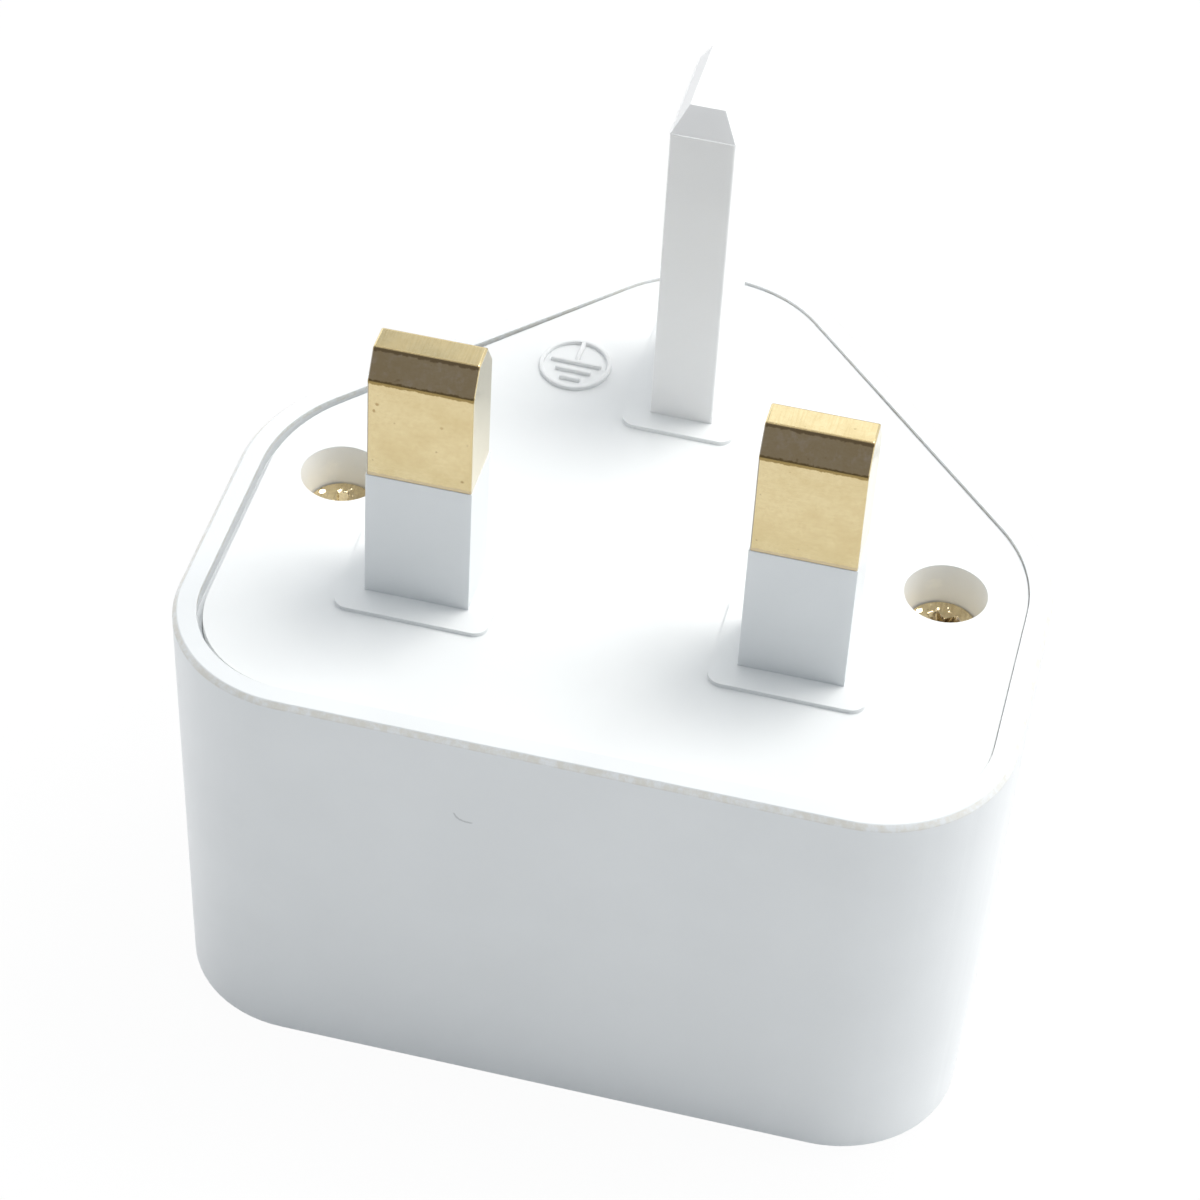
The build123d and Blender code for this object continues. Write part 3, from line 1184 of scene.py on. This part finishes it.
@dataclass
class WellScrews:
    """The two screws: a domed head with a worn cross recess, and a thread."""

    turns: tuple[tuple[str, float], ...] = (("left_screw", 12.0), ("right_screw", 38.0))
    cells: int = 84
    sharp_angle: float = 48.0
    head_drop: float = 0.05
    head_height: float = 1.5
    dome: float = 0.07
    shoulder: float = 0.12
    shoulder_share: float = 0.8
    recess_reach: float = 1.25
    recess_depth: float = 0.8
    recess_end: float = 0.45
    recess_wall: float = 0.1
    arm: float = 0.32
    arm_root: float = 1.1
    arm_taper: float = 0.25
    burr: float = 0.05
    burr_width: float = 0.07
    dents: int = 80
    dent_reach: float = 1.9
    dent_sizes: Pair = (0.07, 0.2)
    dent_depths: Pair = (-0.03, 0.07)
    chips: tuple[Triple, ...] = ((-1.5, 0.94, 0.23), (-0.5, 1.3, 0.17), (0.05, 1.55, 0.15))
    chip_slope: Pair = (0.357, -0.244)
    chip_depth: float = 0.08
    chip_stretch: Pair = (0.6, 1.1)
    core: float = 1.1
    tip: float = 1.0
    tip_radius: float = 0.15
    crest: float = 0.3
    pitch: float = 1.1
    thread_start: float = 1.1
    thread_ends: float = 1.6

    def build(self) -> None:
        """Make both screws."""
        metal = Brass(
            "screw brass",
            colour=(0.88, 0.77, 0.52),
            smudge=(0.58, 0.45, 0.26),
            roughness=0.12,
            drawn=replace(Brass.drawn, stretch=(1.0, 1.0, 1.0)),
            bump=0.5,
        )
        sheet = self._thread_sheet(metal.material())
        for node, turn in self.turns:
            hand_over(self._head(node, turn), metal, Slot.SCREW, node)
            hand_over(self._thread(node, sheet), metal, Slot.SCREW)

    def _depth(self, x: float, y: float, radius: float, dents: Sequence[Spot]) -> float:
        """Depth of the head's face under its top.

        Args:
            x: Place along the first arm of the cross.
            y: Place along its second arm.
            radius: The head's radius.
            dents: Middle, radius and depth of each dent.

        Returns:
            The depth.
        """
        away = math.hypot(x, y)
        depth = self.dome * (away / radius) ** 2
        past = away - (radius - self.shoulder)
        if past > 0:
            fall = 1 - math.sqrt(max(0.0, 1 - (past / self.shoulder) ** 2))
            depth += self.shoulder * fall * self.shoulder_share
        along, across = max(abs(x), abs(y)), min(abs(x), abs(y))
        arm = self.arm * (self.arm_root - self.arm_taper * along / self.recess_reach)
        slope = min(1.0, max(0.0, (self.recess_reach - along) / self.recess_end))
        wall = min(1.0, max(0.0, (arm - across) / self.recess_wall + 0.5))
        depth += self.recess_depth * min(slope, wall)
        if along < self.recess_reach:
            edge = arm + self.recess_wall
            depth -= self.burr * math.exp(-(((across - edge) / self.burr_width) ** 2))
        for dent_x, dent_y, size, deep in dents:
            depth += deep * math.exp(-((x - dent_x) ** 2 + (y - dent_y) ** 2) / size**2)
        return max(-self.head_drop, depth)

    def _chipped(self, x: float, y: float, depth: float) -> float:
        """Depth of the head's face with the bright chips, which are flat and face the lamp.

        Args:
            x: Place along X from the screw's middle.
            y: Place along Y.
            depth: Depth without the chips.

        Returns:
            The depth.
        """
        for chip_x, chip_y, size in self.chips:
            right, back = x - chip_x, y - chip_y
            along = (right + back) * self.chip_stretch[0]
            across = (right - back) * self.chip_stretch[1]
            if math.hypot(along, across) < size:
                depth = self.chip_depth + (right * self.chip_slope[0] + back * self.chip_slope[1])
        return depth

    def _head(self, node: str, turn: float) -> Piece:
        """Make one screw's head and plain core.

        Args:
            node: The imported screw.
            turn: Turn of the cross, in degrees.

        Returns:
            The screw, without its thread.
        """
        low, high = corners(node)
        middle = (low + high) / 2
        radius = (high.x - low.x) / 2
        chance = random.Random(f"{node} dents")
        reach = (-self.dent_reach, self.dent_reach)
        spans = (reach, reach, self.dent_sizes, self.dent_depths)
        dents = [tuple(chance.uniform(*span) for span in spans) for _ in range(self.dents)]
        cos, sin = math.cos(math.radians(turn)), math.sin(math.radians(turn))
        steps = [2 * i / self.cells - 1 for i in range(self.cells + 1)]
        grid = bmesh.new()
        rows = []
        for v in steps:
            rows.append([])
            for u in steps:
                x = radius * u * math.sqrt(1 - v * v / 2)
                y = radius * v * math.sqrt(1 - u * u / 2)
                deep = self._depth(x * cos + y * sin, y * cos - x * sin, radius, dents)
                z = high.z - self.head_drop - self._chipped(x, y, deep)
                rows[-1].append(grid.verts.new(mm(middle.x + x, middle.y + y, z)))
        for below, above in zip(rows, rows[1:]):
            for i in range(self.cells):
                grid.faces.new((below[i], below[i + 1], above[i + 1], above[i]))
        right, left = [row[-1] for row in rows[1:]], [row[0] for row in rows[-2:0:-1]]
        rim = rows[0] + right + rows[-1][-2::-1] + left
        base = high.z - self.head_height
        ring = rim
        for size, z in (
            (radius, base),
            (self.core, base),
            (self.core, low.z + self.tip),
            (self.tip_radius, low.z),
        ):
            wall = []
            for vert in rim:
                away = Vector((vert.co.x / MM - middle.x, vert.co.y / MM - middle.y))
                out = away.normalized() * size
                wall.append(grid.verts.new(mm(middle.x + out.x, middle.y + out.y, z)))
            bridge(grid, wall, ring)
            ring = wall
        grid.faces.new(ring)
        piece = grid_piece(f"{node}_cut", grid)
        piece.data.set_sharp_from_angle(angle=math.radians(self.sharp_angle))
        return piece

    def _thread(self, node: str, sheet: ShapeSheet) -> Piece:
        """Make one screw's thread.

        Args:
            node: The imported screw.
            sheet: The thread's node tree.

        Returns:
            The thread.
        """
        low, high = corners(node)
        middle = (low + high) / 2
        length = high.z - self.head_height - low.z - self.thread_ends
        sizes = {"Length": length * MM, "Core": self.core * MM, "Crest": self.crest * MM}
        piece = sheet.piece(f"{node}_thread", {**sizes, "Turns": length / self.pitch})
        place = mm(middle.x, middle.y, low.z + self.thread_start)
        piece.data.transform(Matrix.Translation(place))
        return piece

    @staticmethod
    def _thread_sheet(material: bpy.types.Material) -> ShapeSheet:
        """Build the tree that winds a thread.

        Args:
            material: Material of the thread.

        Returns:
            The tree's sheet.
        """
        sheet = ShapeSheet("screw thread", ("Length", "Core", "Crest", "Turns"))
        given = sheet.given
        coil = sheet.add(
            "GeometryNodeCurveSpiral",
            {
                "Resolution": 28,
                "Rotations": given["Turns"],
                "Start Radius": given["Core"],
                "End Radius": given["Core"],
                "Height": given["Length"],
            },
        )
        section = {"Resolution": 3, "Radius": given["Crest"]}
        ridge = sheet.add("GeometryNodeCurvePrimitiveCircle", section)
        sheet.close(sheet.sweep(coil, ridge, True), material)
        return sheet


@dataclass
class EarthSign:
    """The raised earth sign on the plate: a ring, a stem and three bars."""

    places: Places
    centre: Pair = (-7.46, 10.78)
    rise: float = 0.25
    sink: float = 0.05
    ring_diameter: float = 4.45
    stroke: float = 0.3
    stretch: Pair = (0.945, 1.01)
    first_bar: float = 3.4
    last_bar: float = 1.4
    bar_step: float = 0.78
    bar_start: float = 0.22
    turn: float = -1.0
    edge: float = 0.08

    def build(self) -> None:
        """Make the sign with a geometry node tree, bake it and set it on the plate."""
        finish = MouldedPlastic("sign white", grain_strength=0.03)
        sizes = {
            "Ring radius": self.ring_diameter / 2,
            "Stroke": self.stroke,
            "Rise": self.rise + self.sink,
            "First bar": self.first_bar,
            "Bar step": self.bar_step,
            "Shrink": (self.first_bar - self.last_bar) / 2,
            "Bar start": self.bar_start,
        }
        sheet = self._strokes(list(sizes), finish.material())
        piece = sheet.piece("earth_sign", {name: size * MM for name, size in sizes.items()})
        place = Matrix.Translation(mm(*self.centre, self.places.plate_z - self.sink))
        size = Matrix.Diagonal((*self.stretch, 1.0, 1.0))
        piece.data.transform(place @ Matrix.Rotation(math.radians(self.turn), 4, "Z") @ size)
        hand_over(ease_edges(piece, self.edge, 3), finish, Slot.BODY)

    @staticmethod
    def _strokes(names: Sequence[str], material: bpy.types.Material) -> ShapeSheet:
        """Build the tree that makes the strokes.

        Args:
            names: Names of its sizes.
            material: Material of the strokes.

        Returns:
            The tree's sheet.
        """
        sheet = ShapeSheet("earth sign strokes", names)
        ring_radius, stroke, rise, first_bar, bar_step, shrink, bar_start = (
            sheet.given[name] for name in names
        )
        half, mid = sheet.times(stroke, 0.5), sheet.times(rise, 0.5)
        # Ring: a flat section swept round a circle
        around = {"Resolution": 72, "Radius": ring_radius}
        circle = sheet.add("GeometryNodeCurvePrimitiveCircle", around)
        flat = {"Width": stroke, "Height": rise}
        section = sheet.add("GeometryNodeCurvePrimitiveQuadrilateral", flat)
        ring = sheet.move(sheet.sweep(circle, section, False), sheet.vector(z=mid))
        # Three bars on a line of points, each shorter than the one above
        start, down = sheet.vector(y=bar_start, z=mid), sheet.vector(y=sheet.times(bar_step, -1.0))
        line = {"Count": 3, "Start Location": start, "Offset": down}
        points = sheet.add("GeometryNodeMeshLine", line).outputs[0]
        less = sheet.times(sheet.add("GeometryNodeInputIndex").outputs[0], shrink)
        scale = sheet.vector(sheet.minus(first_bar, less), stroke, rise)
        unit = sheet.add("GeometryNodeMeshCube", {"Size": (1.0, 1.0, 1.0)}).outputs[0]
        placed = {"Points": points, "Instance": unit, "Scale": scale}
        bars = sheet.add("GeometryNodeInstanceOnPoints", placed).outputs[0]
        bars = sheet.add("GeometryNodeRealizeInstances", {0: bars}).outputs[0]
        # Stem from the ring down to the first bar
        reach = sheet.minus(sheet.minus(ring_radius, bar_start), half)
        middle = sheet.plus(sheet.plus(bar_start, half), sheet.times(reach, 0.5))
        middle = sheet.minus(middle, sheet.times(half, 0.5))
        size = sheet.vector(stroke, reach, rise)
        stem = sheet.add("GeometryNodeMeshCube", {"Size": size}).outputs[0]
        stem = sheet.move(stem, sheet.vector(y=middle, z=mid))
        joined = sheet.add("GeometryNodeJoinGeometry")
        for part in (ring, bars, stem):
            sheet.tree.links.new(part, joined.inputs[0])
        sheet.close(joined.outputs[0], material)
        return sheet


# Studio


@dataclass
class PhotoCamera:
    """Camera at the photograph's place, turn and lens."""

    place: Triple = (31.961, -174.142, 185.217)
    azimuth: float = 11.291
    elevation: float = 43.048
    right: Triple = (0.97017, 0.23794, 0.04644)
    lens: float = 118.387
    sensor: float = 36.0
    clip: Pair = (0.01, 20.0)

    def build(self) -> None:
        """Make the camera and use it."""
        data = bpy.data.cameras.new("photo camera")
        data.lens = self.lens
        data.sensor_width = self.sensor
        data.clip_start, data.clip_end = self.clip
        camera = bpy.data.objects.new("photo camera", data)
        bpy.context.scene.collection.objects.link(camera)
        back = direction(self.azimuth, self.elevation)
        right = (Vector(self.right) - back * back.dot(Vector(self.right))).normalized()
        turn = Matrix((right, back.cross(right), back)).transposed().to_4x4()
        camera.matrix_world = Matrix.Translation(mm(*self.place)) @ turn
        bpy.context.scene.camera = camera


@dataclass(frozen=True)
class Lamp:
    """A square soft lamp, aimed at the adapter. Distance and size are in metres."""

    name: str
    azimuth: float
    elevation: float
    distance: float
    size: float
    power: float
    colour: Triple

    def build(self, aim: Vector) -> None:
        """Make the lamp.

        Args:
            aim: Point that it faces.
        """
        data = bpy.data.lights.new(self.name, "AREA")
        data.shape = "SQUARE"
        data.size = self.size
        data.energy = self.power
        data.color = self.colour
        lamp = bpy.data.objects.new(self.name, data)
        bpy.context.scene.collection.objects.link(lamp)
        away = direction(self.azimuth, self.elevation)
        lamp.location = aim + away * self.distance
        lamp.rotation_euler = away.to_track_quat("Z", "Y").to_euler()


@dataclass(frozen=True)
class RoomPart:
    """A soft round part of the room with its own brightness.

    Angles are in degrees: where its middle is, how wide its even part is and where it ends.
    """

    azimuth: float
    elevation: float
    inner: float
    outer: float
    level: float
    tint: Triple = (0.96, 0.985, 1.0)
    mirror_only: bool = False

    def share(self, sheet: Sheet, ray: Socket) -> Socket:
        """Share of a direction that lies in this part of the room.

        Args:
            sheet: The world's node sheet.
            ray: The direction.

        Returns:
            The share's socket.
        """
        inputs = {0: ray, 1: direction(self.azimuth, self.elevation)}
        facing = sheet.add("ShaderNodeVectorMath", inputs, operation="DOT_PRODUCT")
        edge, core = (math.cos(math.radians(angle)) for angle in (self.outer, self.inner))
        return sheet.ramp(facing.outputs["Value"], edge, core)


@dataclass
class Studio:
    """Pale floor, soft lamps and a world that is darker in front. The floor is in metres."""

    floor_size: float = 6.0
    aim: Triple = (0.0, 0.0, 20.0)
    room: float = 0.82
    tint: Triple = (0.97, 0.985, 1.0)
    parts: tuple[RoomPart, ...] = (
        RoomPart(4.0, 33.0, 39.0, 66.0, 0.13, (0.86, 0.98, 1.07)),
        RoomPart(95.0, 12.0, 22.0, 48.0, 1.3),
        RoomPart(-145.0, 8.0, 20.0, 40.0, 1.5),
        RoomPart(4.0, 28.0, 34.0, 48.0, 0.235, (1.0, 0.955, 1.04), mirror_only=True),
        RoomPart(203.0, 42.0, 7.0, 10.0, 0.46, mirror_only=True),
        RoomPart(181.0, 41.0, 7.0, 10.0, 1.6, mirror_only=True),
    )
    lamps: tuple[Lamp, ...] = (
        Lamp("window", 128.0, 60.0, 1.0, 0.5, 5.1, (1.0, 0.98, 0.945)),
        Lamp("skylight", 161.0, 68.0, 1.0, 0.2, 0.7, (1.0, 0.98, 0.945)),
        Lamp("top fill", 40.0, 76.0, 1.2, 0.9, 2.1, (0.95, 0.98, 1.0)),
    )

    def build(self) -> None:
        """Make the floor, the lamps, the world and the view settings."""
        half = self.floor_size / 2
        grid = bmesh.new()
        ring = ((-half, -half), (half, -half), (half, half), (-half, half))
        grid.faces.new([grid.verts.new((x, y, 0.0)) for x, y in ring])
        floor = grid_piece("floor", grid, closed=False)
        floor.data.materials.append(PaleFloor("floor white").material())
        for lamp in self.lamps:
            lamp.build(mm(*self.aim))
        self._world()
        bpy.context.scene.view_settings.view_transform = "Standard"

    def _world(self) -> None:
        """Make the world: white to the camera, and a pale room, dim in front, to the surfaces."""
        world = bpy.data.worlds.new("studio")
        world.use_nodes = True
        bpy.context.scene.world = world
        sheet = Sheet(world.node_tree)
        ray = sheet.add("ShaderNodeTexCoord").outputs["Generated"]
        path = sheet.add("ShaderNodeLightPath").outputs
        mirrored = sheet.most(path["Is Glossy Ray"], path["Is Transmission Ray"])
        level = sheet.most(self.room, mirrored)
        shade: Any = self.tint
        for part in self.parts:
            share = part.share(sheet, ray)
            if part.mirror_only:
                share = sheet.times(share, mirrored)
            level = sheet.minus(level, sheet.times(share, sheet.minus(level, part.level)))
            shade = sheet.mix(share, shade, part.tint)
        seen = path["Is Camera Ray"]
        white = sheet.mix(seen, shade, (1.0, 1.0, 1.0))
        look = {"Color": white, "Strength": sheet.most(level, seen)}
        sky = sheet.add("ShaderNodeBackground", look)
        sheet.add("ShaderNodeOutputWorld", {"Surface": sky.outputs[0]})


def main() -> None:
    """Build the camera, every sub-assembly and the studio."""
    logging.basicConfig(level=logging.INFO, format="%(name)s: %(message)s")
    places = Places.read()
    PhotoCamera().build()
    MouldedBody(places).build()
    PlugPins(places).build()
    SocketContacts().build()
    WellScrews().build()
    EarthSign(places).build()
    Studio().build()


if __name__ == "__main__":
    main()
